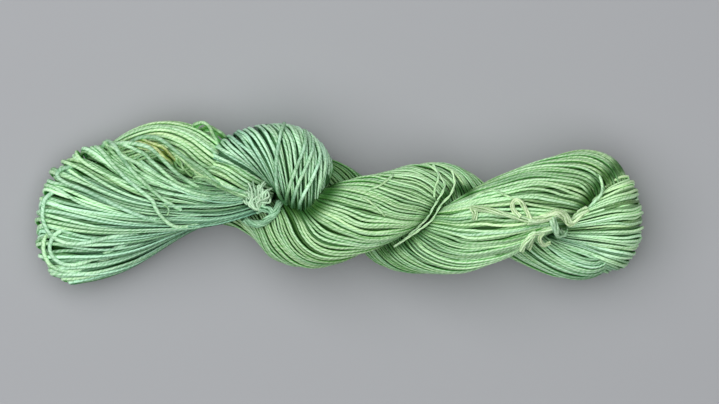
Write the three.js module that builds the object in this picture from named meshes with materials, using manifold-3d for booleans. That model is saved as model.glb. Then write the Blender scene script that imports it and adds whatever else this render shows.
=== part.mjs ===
// A hank of hand-dyed linen yarn, lying on a table.
//
// The yarn is wound into one long loop. The loop is twisted, doubled back on itself so that its two
// halves lay up like a two-ply rope, and one end is passed through the other. The left end puffs open
// into a fan of loops, the other end makes a collar round it, and the right end is the fold where one
// ply turns back into the other. Three short ties keep the turns in order.
//
// Millimetres, +X along the hank, +Y across it, +Z up from the table.

import * as THREE from "three";
import { LoftGeometry } from "three/addons/geometries/LoftGeometry.js";
import { mergeVertices } from "three/addons/utils/BufferGeometryUtils.js";
import Module from "manifold-3d";

// Driving dimensions

const BOX_MIDDLE = { x: 0.08, y: 0.06 }; // middle of the hank's plan outline, in the tables' own coordinates
const BED = 0.5; // how far the lowest yarn is pressed flat against the table

const LOCK_RELIEF = 0.7; // height of the locks of yarn that show on a ply or a fan
const PLY_LOCKS = 6; // locks round a ply
const PLY_POINTS = 24; // points round a ply's section
const PLY_TURN_LENGTH = 160; // ply length in which its yarn goes once round
const PLY_SQUARENESS = 2.3; // exponent of a ply's section, where 2 is an ellipse
const FAN_POINTS = 18; // points round a fan's section
const FAN_SQUARENESS = 2.5; // exponent of a fan's blunt outer edge
const FAN_CREST = 0.45; // share of a fan's length at which its crown is highest
const FAN_SIDE_ROUNDING = 6; // exponent of the way a fan thins towards its two sides
const FAN_SIDE_THICKNESS = 0.2; // thickness left at its sides, as a share of the middle's

// The two plies. A row is one section: its middle, half its width and half its height.

const FIRST_PLY = [
  { x: -62.0, y: -2.5, z: 8.0, half: 4.5, rise: 6.0 },
  { x: -48.0, y: -3.5, z: 8.5, half: 5.5, rise: 8.0 },
  { x: -34.0, y: -5.8, z: 11.5, half: 8.5, rise: 10.5 },
  { x: -21.5, y: -10.1, z: 18.5, half: 14.5, rise: 15.0 },
  { x: -8.5, y: -11.3, z: 25.0, half: 15.5, rise: 16.0 },
  { x: 5.3, y: -6.9, z: 30.0, half: 15.0, rise: 14.5 },
  { x: 19.8, y: -1.8, z: 30.0, half: 14.0, rise: 13.5 },
  { x: 32.8, y: 3.6, z: 26.0, half: 11.5, rise: 12.5 },
  { x: 44.1, y: 4.9, z: 18.5, half: 10.2, rise: 12.0 },
  { x: 54.7, y: -1.5, z: 12.0, half: 10.0, rise: 11.5 },
  { x: 66.0, y: -9.3, z: 10.5, half: 10.5, rise: 11.0 },
  { x: 79.0, y: -18.2, z: 11.5, half: 8.6, rise: 12.0 },
  { x: 91.9, y: -21.9, z: 13.5, half: 9.4, rise: 14.0 },
  { x: 102.5, y: -21.5, z: 14.5, half: 9.0, rise: 14.0 },
  { x: 110.5, y: -15.5, z: 13.0, half: 5.5, rise: 9.0 },
];

const SECOND_PLY = [
  { x: -13.8, y: 7.7, z: 15.0, half: 11.0, rise: 12.0 },
  { x: -1.6, y: 4.5, z: 13.0, half: 11.0, rise: 13.0 },
  { x: 9.3, y: -4.5, z: 11.5, half: 11.0, rise: 12.0 },
  { x: 21.5, y: -15.5, z: 12.5, half: 11.5, rise: 13.0 },
  { x: 33.6, y: -18.0, z: 18.5, half: 11.5, rise: 13.0 },
  { x: 47.0, y: -15.5, z: 26.5, half: 14.0, rise: 14.5 },
  { x: 61.2, y: -8.5, z: 31.0, half: 15.5, rise: 14.5 },
  { x: 75.3, y: -1.2, z: 31.0, half: 14.8, rise: 14.0 },
  { x: 89.5, y: 3.6, z: 26.0, half: 15.0, rise: 13.5 },
  { x: 102.5, y: 4.6, z: 18.5, half: 15.5, rise: 13.5 },
  { x: 111.0, y: -3.0, z: 14.0, half: 11.0, rise: 12.5 },
  { x: 113.0, y: -12.0, z: 13.0, half: 7.0, rise: 11.0 },
];

// The part of the left loop that arches behind its fan.

const BACK_LOOP = [
  { x: -44.0, y: 12.5, z: 8.5, half: 6.0, rise: 8.0 },
  { x: -52.2, y: 16.8, z: 14.0, half: 8.5, rise: 12.0 },
  { x: -62.0, y: 23.0, z: 13.5, half: 8.0, rise: 12.5 },
  { x: -72.5, y: 25.1, z: 13.0, half: 7.0, rise: 12.0 },
  { x: -83.0, y: 21.5, z: 12.0, half: 7.0, rise: 12.0 },
  { x: -92.7, y: 15.4, z: 12.0, half: 7.0, rise: 12.0 },
  { x: -100.8, y: 7.7, z: 12.0, half: 6.5, rise: 11.0 },
];

// The yarn that comes up out of the hollow behind the open loop and lies along its neck.

const NECK_BAND = [
  { x: -60.0, y: 11.0, z: 9.0, half: 4.0, rise: 6.0 },
  { x: -53.5, y: 13.0, z: 14.5, half: 6.0, rise: 8.5 },
  { x: -46.0, y: 11.5, z: 17.0, half: 7.5, rise: 9.5 },
  { x: -36.0, y: 7.0, z: 18.0, half: 6.8, rise: 9.5 },
  { x: -26.0, y: 3.5, z: 17.5, half: 5.0, rise: 8.5 },
];

// The yarn that lies low under the left loop and shows in the hollow behind its fan.

const HOLLOW_YARN = [
  { x: -98.0, y: 9.0, z: 8.5, half: 8.0, rise: 9.0 },
  { x: -80.0, y: 15.5, z: 8.5, half: 8.0, rise: 9.0 },
  { x: -62.0, y: 14.0, z: 8.5, half: 8.0, rise: 9.0 },
  { x: -44.0, y: 10.0, z: 8.5, half: 9.0, rise: 9.0 },
  { x: -28.0, y: 8.0, z: 8.5, half: 9.0, rise: 9.0 },
];

// The fans. A row is one strand's run in plan, from where the yarn is drawn together to the loop's edge,
// with the height of its crown. Each fan has one set of heights for its neck and its edge.

const OPEN_LOOP = {
  neck: 23,
  edge: 13,
  locks: 10,
  steps: 40,
  rows: [
    { neckX: -28.0, neckY: -5.5, midX: -69.5, midY: -17.5, edgeX: -111.4, edgeY: -32.4, crown: 19.0 },
    { neckX: -27.0, neckY: -4.6, midX: -72.0, midY: -15.5, edgeX: -119.5, edgeY: -26.3, crown: 25.0 },
    { neckX: -26.0, neckY: -3.6, midX: -73.5, midY: -14.0, edgeX: -122.3, edgeY: -18.2, crown: 28.0 },
    { neckX: -25.5, neckY: -2.4, midX: -74.0, midY: -12.2, edgeX: -122.7, edgeY: -7.7, crown: 30.0 },
    { neckX: -25.0, neckY: -1.0, midX: -73.0, midY: -10.0, edgeX: -121.1, edgeY: 3.2, crown: 31.0 },
    { neckX: -25.0, neckY: 0.8, midX: -70.0, midY: -7.0, edgeX: -115.4, edgeY: 14.6, crown: 30.0 },
    { neckX: -25.5, neckY: 2.8, midX: -64.5, midY: -2.0, edgeX: -102.9, edgeY: 21.9, crown: 28.0 },
    { neckX: -26.5, neckY: 5.0, midX: -57.7, midY: 4.2, edgeX: -89.5, edgeY: 23.9, crown: 24.0 },
  ],
};

const COLLAR = {
  neck: 28,
  edge: 17,
  locks: 7,
  steps: 28,
  rows: [
    { neckX: -28.8, neckY: 7.3, midX: -41.7, midY: 13.4, edgeX: -55.1, edgeY: 16.2, crown: 31 },
    { neckX: -26.3, neckY: 4.5, midX: -37.3, midY: 17.4, edgeX: -49.8, edgeY: 22.7, crown: 39 },
    { neckX: -23.9, neckY: 1.6, midX: -32.4, midY: 19.8, edgeX: -41.7, edgeY: 27.9, crown: 43 },
    { neckX: -21.1, neckY: -0.8, midX: -27.1, midY: 20.7, edgeX: -32.8, edgeY: 30.4, crown: 45 },
    { neckX: -18.2, neckY: -2.4, midX: -21.5, midY: 20.7, edgeX: -23.5, edgeY: 30.8, crown: 46 },
    { neckX: -15.0, neckY: -3.6, midX: -14.6, midY: 18.6, edgeX: -13.8, edgeY: 28.8, crown: 45 },
    { neckX: -10.9, neckY: -3.2, midX: -7.7, midY: 12.6, edgeX: -5.7, edgeY: 21.5, crown: 42 },
    { neckX: -6.9, neckY: -0.8, midX: -4.1, midY: 7.7, edgeX: -2.4, edgeY: 14.2, crown: 36 },
  ],
};

const END_FOLD = {
  neck: 26,
  edge: 14,
  locks: 7,
  steps: 28,
  rows: [
    { neckX: 90.3, neckY: -6.1, midX: 102.5, midY: 6.1, edgeX: 113.0, edgeY: 15.4, crown: 33 },
    { neckX: 89.5, neckY: -7.7, midX: 106.5, midY: 1.2, edgeX: 119.1, edgeY: 7.7, crown: 37 },
    { neckX: 88.7, neckY: -9.3, midX: 108.1, midY: -4.5, edgeX: 122.3, edgeY: -2.0, crown: 38 },
    { neckX: 87.9, neckY: -10.9, midX: 108.1, midY: -10.9, edgeX: 122.7, edgeY: -12.6, crown: 37 },
    { neckX: 86.3, neckY: -12.6, midX: 105.7, midY: -17.4, edgeX: 119.1, edgeY: -23.1, crown: 34 },
    { neckX: 83.8, neckY: -14.2, midX: 100.8, midY: -22.3, edgeX: 113.4, edgeY: -29.2, crown: 30 },
    { neckX: 80.6, neckY: -15.8, midX: 94.4, midY: -25.1, edgeX: 104.9, edgeY: -32.4, crown: 25 },
  ],
};

// The ties. A route is the middle of a strand, on the yarn it lies on.

const TIE_GAP = 0.45; // gap between a tie and the hank's yarn
const CORD_SIDES = 8;

const LEFT_TIE_CORD = 2.2; // diameter of the yarn that ties the left loop
const LEFT_TIE_ROUTE = [
  { x: -23.9, y: -0.4, z: 26.6 },
  { x: -24.7, y: -2.8, z: 29.0 },
  { x: -25.9, y: -5.3, z: 30.2 },
  { x: -28.4, y: -7.3, z: 29.2 },
  { x: -31.2, y: -9.1, z: 26.6 },
  { x: -35.2, y: -8.9, z: 23.6 },
  { x: -38.5, y: -7.3, z: 24.8 },
];
const LEFT_TIE_KNOT = { x: -28.4, y: -6.2, z: 29.8, long: 2.7, wide: 2.2, high: 2.0 };
const TUFT_ROOT = { x: -32.4, y: -3.6, z: 27.2, diameter: 1.8 };
const TUFT_TIP = 0.5; // diameter of a frayed end at its tip
const TUFT_TIPS = [
  { x: -38.4, y: 1.5, z: 25.5 },
  { x: -36.9, y: 3.4, z: 28.0 },
  { x: -36.5, y: 5.7, z: 29.2 },
  { x: -35.2, y: 9.1, z: 29.5 },
  { x: -33.4, y: 7.3, z: 30.5 },
  { x: -31.5, y: 9.0, z: 29.5 },
  { x: -30.5, y: 4.8, z: 30.5 },
  { x: -27.8, y: 5.1, z: 29.5 },
  { x: -26.8, y: 1.4, z: 28.5 },
];

const MIDDLE_TIE_THREAD = 1.2; // diameter of the threads in the crease between the plies
const MIDDLE_TIE_ROUTES = [
  [
    { x: 37.7, y: 14.7, z: 29.8 },
    { x: 40.5, y: 10.0, z: 32.4 },
    { x: 42.3, y: 7.2, z: 31.9 },
    { x: 41.9, y: 4.4, z: 32.6 },
    { x: 39.8, y: 0.6, z: 33.4 },
    { x: 37.7, y: -2.8, z: 34.4 },
    { x: 35.7, y: -6.4, z: 32.4 },
    { x: 33.1, y: -9.3, z: 32.2 },
    { x: 29.7, y: -12.4, z: 28.4 },
    { x: 26.4, y: -15.5, z: 28.0 },
    { x: 22.0, y: -18.5, z: 25.8 },
  ],
  [
    { x: 45.2, y: 12.4, z: 28.5 },
    { x: 46.4, y: 8.8, z: 29.5 },
    { x: 46.0, y: 5.2, z: 29.4 },
    { x: 44.5, y: 2.1, z: 30.1 },
    { x: 41.9, y: -0.5, z: 30.6 },
    { x: 39.8, y: -3.3, z: 31.3 },
    { x: 38.3, y: -6.2, z: 30.4 },
    { x: 36.2, y: -8.7, z: 31.0 },
    { x: 32.6, y: -11.4, z: 30.2 },
    { x: 29.0, y: -13.9, z: 28.6 },
    { x: 22.0, y: -18.5, z: 25.8 },
  ],
];

const RIGHT_TIE_CORD = 2.6; // diameter of the yarn that ties the right end
const RIGHT_TIE_STRAND = 1.6; // diameter of one of its untwisted strands
const RIGHT_TIE_ROUTE = [
  { x: 99.6, y: -3.2, z: 34.4 },
  { x: 96.4, y: -5.1, z: 35.2 },
  { x: 92.7, y: -8.6, z: 35.6 },
  { x: 89.9, y: -5.9, z: 39.0 },
  { x: 86.9, y: -4.6, z: 41.2 },
  { x: 84.2, y: -5.9, z: 42.2 },
  { x: 81.2, y: -7.2, z: 43.4 },
  { x: 78.2, y: -7.8, z: 44.6 },
  { x: 75.0, y: -7.9, z: 45.3 },
];
const RIGHT_TIE_WRAP = [
  { x: 84.6, y: -6.2, z: 42.2 },
  { x: 85.4, y: -8.4, z: 41.2 },
  { x: 86.4, y: -10.9, z: 38.6 },
  { x: 87.8, y: -13.2, z: 34.0 },
  { x: 89.8, y: -13.0, z: 31.0 },
  { x: 90.4, y: -11.3, z: 32.0 },
];
const RIGHT_TIE_STRANDS = [
  [
    { x: 76.5, y: -7.8, z: 45.3 },
    { x: 74.5, y: -4.0, z: 46.2 },
    { x: 72.5, y: -0.6, z: 46.4 },
    { x: 70.2, y: 0.3, z: 46.4 },
    { x: 68.9, y: -1.6, z: 46.6 },
    { x: 69.9, y: -4.3, z: 46.8 },
    { x: 72.3, y: -6.4, z: 46.8 },
  ],
  [
    { x: 86.0, y: -10.5, z: 39.0 },
    { x: 80.5, y: -12.4, z: 39.6 },
    { x: 77.0, y: -13.4, z: 41.4 },
    { x: 74.3, y: -16.6, z: 40.4 },
    { x: 72.9, y: -20.1, z: 36.5 },
  ],
  [
    { x: 80.5, y: -12.4, z: 39.6 },
    { x: 77.6, y: -13.6, z: 41.0 },
    { x: 76.6, y: -16.8, z: 38.2 },
    { x: 76.1, y: -19.2, z: 34.5 },
  ],
  [
    { x: 82.0, y: -12.0, z: 39.2 },
    { x: 80.2, y: -14.5, z: 38.2 },
    { x: 80.9, y: -16.7, z: 35.5 },
    { x: 82.6, y: -17.7, z: 33.0 },
    { x: 84.6, y: -16.6, z: 31.5 },
  ],
];

// Smooth runs through a table's rows

// One value on the smooth curve through four successive values, at share t between the middle two.
function between(before, from, to, after, t) {
  const slopeFrom = (to - before) / 2;
  const slopeTo = (after - from) / 2;
  const bend = 2 * (from - to) + slopeFrom + slopeTo;
  const lean = -3 * (from - to) - 2 * slopeFrom - slopeTo;
  return ((bend * t + lean) * t + slopeFrom) * t + from;
}

// The row at share t of a table, with every column on a smooth curve through its values.
function rowAt(rows, t) {
  const last = rows.length - 1;
  const place = Math.min(Math.max(t, 0), 1) * last;
  const index = Math.min(Math.floor(place), last - 1);
  const near = (i) => rows[Math.min(Math.max(i, 0), last)];
  const made = {};
  for (const column of Object.keys(rows[0])) {
    const values = [-1, 0, 1, 2].map((step) => near(index + step)[column]);
    made[column] = between(...values, place - index);
  }
  return made;
}

// cos and sin of an angle, pushed out towards a square.
function blunt(angle, squareness) {
  const push = (value) => Math.sign(value) * Math.abs(value) ** (2 / squareness);
  return [push(Math.cos(angle)), push(Math.sin(angle))];
}

// Plies: sections across a twisted run

const UP = new THREE.Vector3(0, 0, 1);

function plySections(rows, steps) {
  const middles = [];
  for (let i = 0; i <= steps; i++) {
    const row = rowAt(rows, i / steps);
    middles.push({ ...row, point: new THREE.Vector3(row.x, row.y, row.z) });
  }
  let run = 0;
  return middles.map((row, i) => {
    const back = middles[Math.max(i - 1, 0)].point;
    const ahead = middles[Math.min(i + 1, steps)].point;
    run += row.point.distanceTo(back);
    const turned = (run / PLY_TURN_LENGTH) * 2 * Math.PI;
    const side = new THREE.Vector3().crossVectors(UP, ahead.clone().sub(back)).normalize();
    const section = [];
    for (let j = 0; j < PLY_POINTS; j++) {
      const angle = (j / PLY_POINTS) * 2 * Math.PI;
      const lock = LOCK_RELIEF * Math.cos(PLY_LOCKS * (angle - turned));
      const [across, up] = blunt(angle, PLY_SQUARENESS);
      section.push(
        row.point
          .clone()
          .addScaledVector(side, across * (row.half + lock))
          .addScaledVector(UP, up * (row.rise + lock)),
      );
    }
    return section;
  });
}

// Fans: sections along each strand's run, from one side of the fan to the other

// Height of a fan's upper (side 1) or under (side -1) face at share s of a strand's run.
function fanHeight(fan, crown, s, side) {
  const past = Math.max(0, (s - FAN_CREST) / (1 - FAN_CREST));
  const full = (1 - past ** FAN_SQUARENESS) ** (1 / FAN_SQUARENESS);
  if (side < 0) return fan.edge - (fan.edge + BED) * full;
  if (s > FAN_CREST) return fan.edge + (crown - fan.edge) * full;
  return fan.neck + (crown - fan.neck) * Math.sin(((s / FAN_CREST) * Math.PI) / 2);
}

function fanSections(fan) {
  const sections = [];
  for (let i = 0; i <= fan.steps; i++) {
    const share = i / fan.steps;
    const row = rowAt(fan.rows, share);
    const lock = LOCK_RELIEF * Math.cos(fan.locks * 2 * Math.PI * share);
    const thin = Math.sqrt(1 - Math.abs(2 * share - 1) ** FAN_SIDE_ROUNDING);
    const thickness = Math.max(thin, FAN_SIDE_THICKNESS);
    const plan = new THREE.QuadraticBezierCurve(
      new THREE.Vector2(row.neckX, row.neckY),
      new THREE.Vector2(
        2 * row.midX - (row.neckX + row.edgeX) / 2,
        2 * row.midY - (row.neckY + row.edgeY) / 2,
      ),
      new THREE.Vector2(row.edgeX, row.edgeY),
    );
    const section = [];
    for (let j = 0; j < FAN_POINTS; j++) {
      const angle = (j / FAN_POINTS) * 2 * Math.PI;
      const s = (1 + Math.cos(angle)) / 2;
      const side = Math.sin(angle) < 0 ? -1 : 1;
      const { x, y } = plan.getPoint(s);
      const ends = Math.abs(Math.sin(angle)) < 1e-6;
      const full = ends ? fan.edge : fanHeight(fan, row.crown + lock, s, side);
      section.push(new THREE.Vector3(x, y, fan.edge + (full - fan.edge) * thickness));
    }
    sections.push(section);
  }
  return sections;
}

// Solids

const wasm = await Module();
wasm.setup();

function solidOf(geometry) {
  const bare = new THREE.BufferGeometry().copy(geometry);
  bare.deleteAttribute("normal");
  bare.deleteAttribute("uv");
  const merged = mergeVertices(bare);
  return new wasm.Manifold(
    new wasm.Mesh({
      numProp: 3,
      vertProperties: merged.attributes.position.array,
      triVerts: new Uint32Array(merged.index.array),
    }),
  );
}

function geometryOf(solid) {
  const made = solid.getMesh();
  const geometry = new THREE.BufferGeometry();
  geometry.setAttribute("position", new THREE.BufferAttribute(made.vertProperties, 3));
  geometry.setIndex(new THREE.BufferAttribute(made.triVerts, 1));
  geometry.computeVertexNormals();
  return geometry;
}

function loft(sections) {
  return solidOf(new LoftGeometry(sections, { capStart: true, capEnd: true }));
}

// Everything below the table top, which presses the lowest yarn flat.
function underTable() {
  const depth = 20;
  const slab = new THREE.BoxGeometry(400, 200, depth);
  slab.translate(0, 0, -depth / 2);
  return solidOf(slab);
}

function joined(solids) {
  return solids.reduce((sum, solid) => sum.add(solid));
}

// Ties: round strands along their routes, each one thicker by grow all round

function strandSolid(route, diameter, grow) {
  const points = route.map(({ x, y, z }) => new THREE.Vector3(x, y, z));
  const steps = Math.round(new THREE.CatmullRomCurve3(points).getLength() / diameter);
  const [start, next] = points;
  const [before, end] = points.slice(-2);
  start.add(start.clone().sub(next).setLength(grow));
  end.add(end.clone().sub(before).setLength(grow));
  const curve = new THREE.CatmullRomCurve3(points);
  const section = new THREE.Shape();
  for (let i = 0; i < CORD_SIDES; i++) {
    const angle = (i / CORD_SIDES) * 2 * Math.PI;
    const radius = diameter / 2 + grow;
    const put = i === 0 ? "moveTo" : "lineTo";
    section[put](radius * Math.cos(angle), radius * Math.sin(angle));
  }
  section.closePath();
  return solidOf(new THREE.ExtrudeGeometry(section, { steps, extrudePath: curve, bevelEnabled: false }));
}

// One frayed end of the left tie, a thin cone from the tuft's root to its tip.
function frayedEnd(tip, grow) {
  const root = new THREE.Vector3(TUFT_ROOT.x, TUFT_ROOT.y, TUFT_ROOT.z);
  const run = new THREE.Vector3(tip.x, tip.y, tip.z).sub(root);
  const long = run.length();
  const cone = new THREE.CylinderGeometry(TUFT_TIP / 2 + grow, TUFT_ROOT.diameter / 4 + grow, long, 4);
  cone.translate(0, long / 2, 0);
  cone.applyQuaternion(
    new THREE.Quaternion().setFromUnitVectors(new THREE.Vector3(0, 1, 0), run.normalize()),
  );
  cone.translate(root.x, root.y, root.z);
  return solidOf(cone);
}

function leftTieSolid(grow) {
  const { x, y, z, long, wide, high } = LEFT_TIE_KNOT;
  const knot = new THREE.SphereGeometry(1, 12, 8);
  knot.scale(long + grow, wide + grow, high + grow);
  knot.rotateZ(Math.PI / 3);
  knot.translate(x, y, z);
  return joined([
    strandSolid(LEFT_TIE_ROUTE, LEFT_TIE_CORD, grow),
    solidOf(knot),
    strandSolid([LEFT_TIE_KNOT, TUFT_ROOT], TUFT_ROOT.diameter, grow),
    ...TUFT_TIPS.map((tip) => frayedEnd(tip, grow)),
  ]);
}

function middleTieSolid(grow) {
  return joined(MIDDLE_TIE_ROUTES.map((route) => strandSolid(route, MIDDLE_TIE_THREAD, grow)));
}

function rightTieSolid(grow) {
  return joined([
    strandSolid(RIGHT_TIE_ROUTE, RIGHT_TIE_CORD, grow),
    strandSolid(RIGHT_TIE_WRAP, RIGHT_TIE_CORD, grow),
    ...RIGHT_TIE_STRANDS.map((route) => strandSolid(route, RIGHT_TIE_STRAND, grow)),
  ]);
}

// The hank: its bundles joined, pressed on the table and clear of the ties

function hankSolid() {
  const yarn = joined([
    loft(plySections(FIRST_PLY, 40)),
    loft(plySections(SECOND_PLY, 36)),
    loft(plySections(BACK_LOOP, 10)),
    loft(plySections(NECK_BAND, 9)),
    loft(plySections(HOLLOW_YARN, 8)),
    loft(fanSections(OPEN_LOOP)),
    loft(fanSections(COLLAR)),
    loft(fanSections(END_FOLD)),
  ]);
  const clear = [underTable(), leftTieSolid(TIE_GAP), middleTieSolid(TIE_GAP), rightTieSolid(TIE_GAP)];
  return clear.reduce((rest, cut) => rest.subtract(cut), yarn);
}

const hankYarn = new THREE.MeshStandardMaterial({ color: 0x86b788, roughness: 0.75, metalness: 0 });
const tealYarn = new THREE.MeshStandardMaterial({ color: 0x8cc09a, roughness: 0.75, metalness: 0 });
const paleYarn = new THREE.MeshStandardMaterial({ color: 0xc3dbae, roughness: 0.75, metalness: 0 });

const part = new THREE.Group();
part.position.set(-BOX_MIDDLE.x, -BOX_MIDDLE.y, 0);

function addNode(name, solid, material) {
  const node = new THREE.Mesh(geometryOf(solid), material);
  node.name = name;
  part.add(node);
}

addNode("hank", hankSolid(), hankYarn);
addNode("tie_left", leftTieSolid(0), tealYarn);
addNode("tie_middle", middleTieSolid(0), paleYarn);
addNode("tie_right", rightTieSolid(0), paleYarn);

export default part;
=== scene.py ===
import math

import bmesh
import bpy
import numpy as np
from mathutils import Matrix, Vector
from mathutils.bvhtree import BVHTree


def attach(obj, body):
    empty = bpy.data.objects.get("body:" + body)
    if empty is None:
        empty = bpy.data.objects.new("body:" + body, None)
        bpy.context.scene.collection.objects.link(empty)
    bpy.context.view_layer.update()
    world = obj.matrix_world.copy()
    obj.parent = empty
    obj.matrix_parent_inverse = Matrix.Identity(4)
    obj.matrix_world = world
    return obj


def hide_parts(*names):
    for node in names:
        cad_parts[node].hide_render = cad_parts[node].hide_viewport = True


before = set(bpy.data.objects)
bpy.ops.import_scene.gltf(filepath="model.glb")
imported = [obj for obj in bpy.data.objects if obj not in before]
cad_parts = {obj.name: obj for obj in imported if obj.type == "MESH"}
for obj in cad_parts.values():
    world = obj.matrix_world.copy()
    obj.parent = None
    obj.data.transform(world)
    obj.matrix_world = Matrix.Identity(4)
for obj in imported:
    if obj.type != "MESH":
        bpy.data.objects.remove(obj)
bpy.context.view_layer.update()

# Camera: straight down on the hank, far enough back that it shows hardly any perspective.
# The picture is as wide as the photo, with the hank where the photo has it.

PIXEL = 0.000405  # metres of table in one pixel of the photo
PICTURE_WIDTH = 719 * PIXEL
LENS = 0.2
SENSOR = 0.036
SCALE_HEIGHT = 0.015  # height above the table at which the scale holds
PICTURE_MIDDLE = (0.0082, -0.0005)  # place of the hank's plan at the middle of the picture

scene = bpy.context.scene
camera_data = bpy.data.cameras.new("camera")
camera_data.lens = LENS * 1000
camera_data.sensor_width = SENSOR * 1000
camera = bpy.data.objects.new("camera", camera_data)
camera.location = (*PICTURE_MIDDLE, SCALE_HEIGHT + PICTURE_WIDTH * LENS / SENSOR)
scene.collection.objects.link(camera)
scene.camera = camera

# Open loop: the left end of the hank, where its turns of dyed linen yarn puff open into a fan of loops.
# Each turn runs from the neck over the top, round the edge and back underneath.
# The left tie holds the turns together at the neck.

MM = 0.001
BOX_MIDDLE = np.array([0.08, 0.06, 0.0])  # middle of the hank's plan outline in the tables below, mm
BED = 0.5  # how far the lowest yarn is pressed flat, mm
FAN_SQUARENESS = 2.1
FAN_CREST = 0.45  # share of the way from neck to edge where a fan is highest
FAN_SIDE_ROUNDING = 6
FAN_SIDE_THICKNESS = 0.06
OPEN_LOOP_EDGE = 13  # height of the outer edge, mm
OPEN_LOOP_CORE = 5.6  # depth of the core below the surface, mm

# columns: neck x, y, middle x, y, edge x, y, crown height, neck height, sway to either side of that curve
OPEN_LOOP = [
    (-28.0, -5.5, -70.5, -18.5, -110.4, -33.4, 18, 16, -3.5),
    (-27.0, -4.6, -72.5, -16.6, -119.0, -27.3, 25, 19, -3.0),
    (-26.0, -3.6, -73.5, -14.8, -122.3, -18.2, 28, 21, -2.0),
    (-25.5, -2.4, -74.0, -13.2, -122.7, -7.7, 30, 22, -1.0),
    (-25.0, -1.0, -73.0, -11.5, -121.1, 3.2, 31, 23, 0.0),
    (-25.0, 0.8, -71.0, -9.0, -115.4, 14.6, 30, 23, 0.0),
    (-25.5, 2.8, -67.5, -4.5, -102.9, 21.9, 28, 23, 0.0),
    (-26.5, 5.0, -61.5, 2.0, -89.5, 23.9, 24, 22, 0.0),
    (-27.5, 7.0, -57.0, 8.0, -78.0, 19.0, 17, 20, 0.0),
]


def smooth_row(rows, share):
    """A table's row at a share of its length, with every column on a smooth curve through its values."""
    rows = np.asarray(rows, float)
    last = len(rows) - 1
    place = np.clip(share, 0, 1) * last
    index = np.minimum(place.astype(int), last - 1)
    t = (place - index)[..., None]
    before, start, end, after = (rows[np.clip(index + k, 0, last)] for k in (-1, 0, 1, 2))
    slope_start, slope_end = (end - before) / 2, (after - start) / 2
    bend = 2 * (start - end) + slope_start + slope_end
    lean = -3 * (start - end) - 2 * slope_start - slope_end
    return ((bend * t + lean) * t + slope_start) * t + start


def smooth_line(rows, points):
    """A number of points along the smooth curve through a table's rows."""
    return smooth_row(rows, np.linspace(0, 1, points))


def smoothstep(low, high, value):
    t = np.clip((value - low) / (high - low), 0, 1)
    return t * t * (3 - 2 * t)


WAVE_PARTS = 3
WAVE_SIZE = 1.4  # about how far the parts of a wave reach together


def wander(rng, strands, points, waves, amount):
    """Slow random waves along each of several strands, as an array of strands by points."""
    along = np.linspace(0, 1, points)[None, :]
    total = np.zeros((strands, points))
    for k in range(1, WAVE_PARTS + 1):
        phase = rng.uniform(0, 2 * math.pi, (strands, 1))
        pace = waves * k * rng.uniform(0.6, 1.2, (strands, 1))
        total += np.sin(2 * math.pi * pace * along + phase) / k
    return amount * total / WAVE_SIZE


def fan_points(rows, edge, across, angle, inset):
    """Points of a fan's turns: across is the share from one side to the other, angle goes from pi at
    the neck over the top to 0 at the edge and on underneath, inset is the depth below the surface."""
    row = smooth_row(rows, across)
    s = (1 + np.cos(angle)) / 2
    start, middle, end = row[..., 0:2], row[..., 2:4], row[..., 4:6]
    crown, neck = row[..., 6], row[..., 7]
    run = np.linalg.norm(end - start, axis=-1)
    s = s * (1 - inset / run)
    control = 2 * middle - (start + end) / 2
    t = s[..., None]
    plan = (1 - t) ** 2 * start + 2 * t * (1 - t) * control + t**2 * end
    side = (end - start)[..., ::-1] * np.array([-1.0, 1.0]) / run[..., None]
    plan = plan + side * (row[..., 8] * np.sin(2 * math.pi * s))[..., None]
    past = np.clip((s - FAN_CREST) / (1 - inset / run - FAN_CREST), 0, 1)
    full = (1 - past**FAN_SQUARENESS) ** (1 / FAN_SQUARENESS)
    rising = neck + (crown - neck) * np.sqrt(1 - (1 - np.clip(s / FAN_CREST, 0, 1)) ** 2)
    upper = np.where(s > FAN_CREST, edge + (crown - edge) * full, rising)
    under = edge - (edge + BED) * full
    height = np.where(np.sin(angle) >= 0, upper - inset * full, under + inset * full)
    thin = np.sqrt(1 - np.clip(np.abs(2 * across - 1), 0, 1) ** FAN_SIDE_ROUNDING)
    thick = np.maximum(thin, FAN_SIDE_THICKNESS)
    return np.concatenate([plan, (edge + (height - edge) * thick)[..., None]], axis=-1)


def unit(v):
    return v / np.maximum(np.linalg.norm(v, axis=-1, keepdims=True), 1e-9)


def length_along(points, axis=0):
    """How far each point of a line, or of several beside one another, lies from its start."""
    gone = np.cumsum(np.linalg.norm(np.diff(points, axis=axis), axis=-1), axis=axis)
    return np.insert(gone, 0, 0, axis=axis)


def tube_faces(strands, steps, sides):
    """Quads of several tubes, closed at both ends, over vertices in order of strand, step and side."""
    n, k, j = np.meshgrid(np.arange(strands), np.arange(steps - 1), np.arange(sides), indexing="ij")

    def corner(dk, dj):
        return (n * steps + k + dk) * sides + (j + dj) % sides

    walls = np.stack([corner(0, 0), corner(0, 1), corner(1, 1), corner(1, 0)], axis=-1).reshape(-1, 4)
    rung = np.arange(sides // 2 - 1)
    cap = np.stack([rung, rung + 1, sides - 2 - rung, sides - 1 - rung], axis=-1)
    first = np.arange(strands)[:, None, None] * steps * sides
    last = first + (steps - 1) * sides
    return np.concatenate([walls, (first + cap[:, ::-1]).reshape(-1, 4), (last + cap).reshape(-1, 4)])


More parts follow.
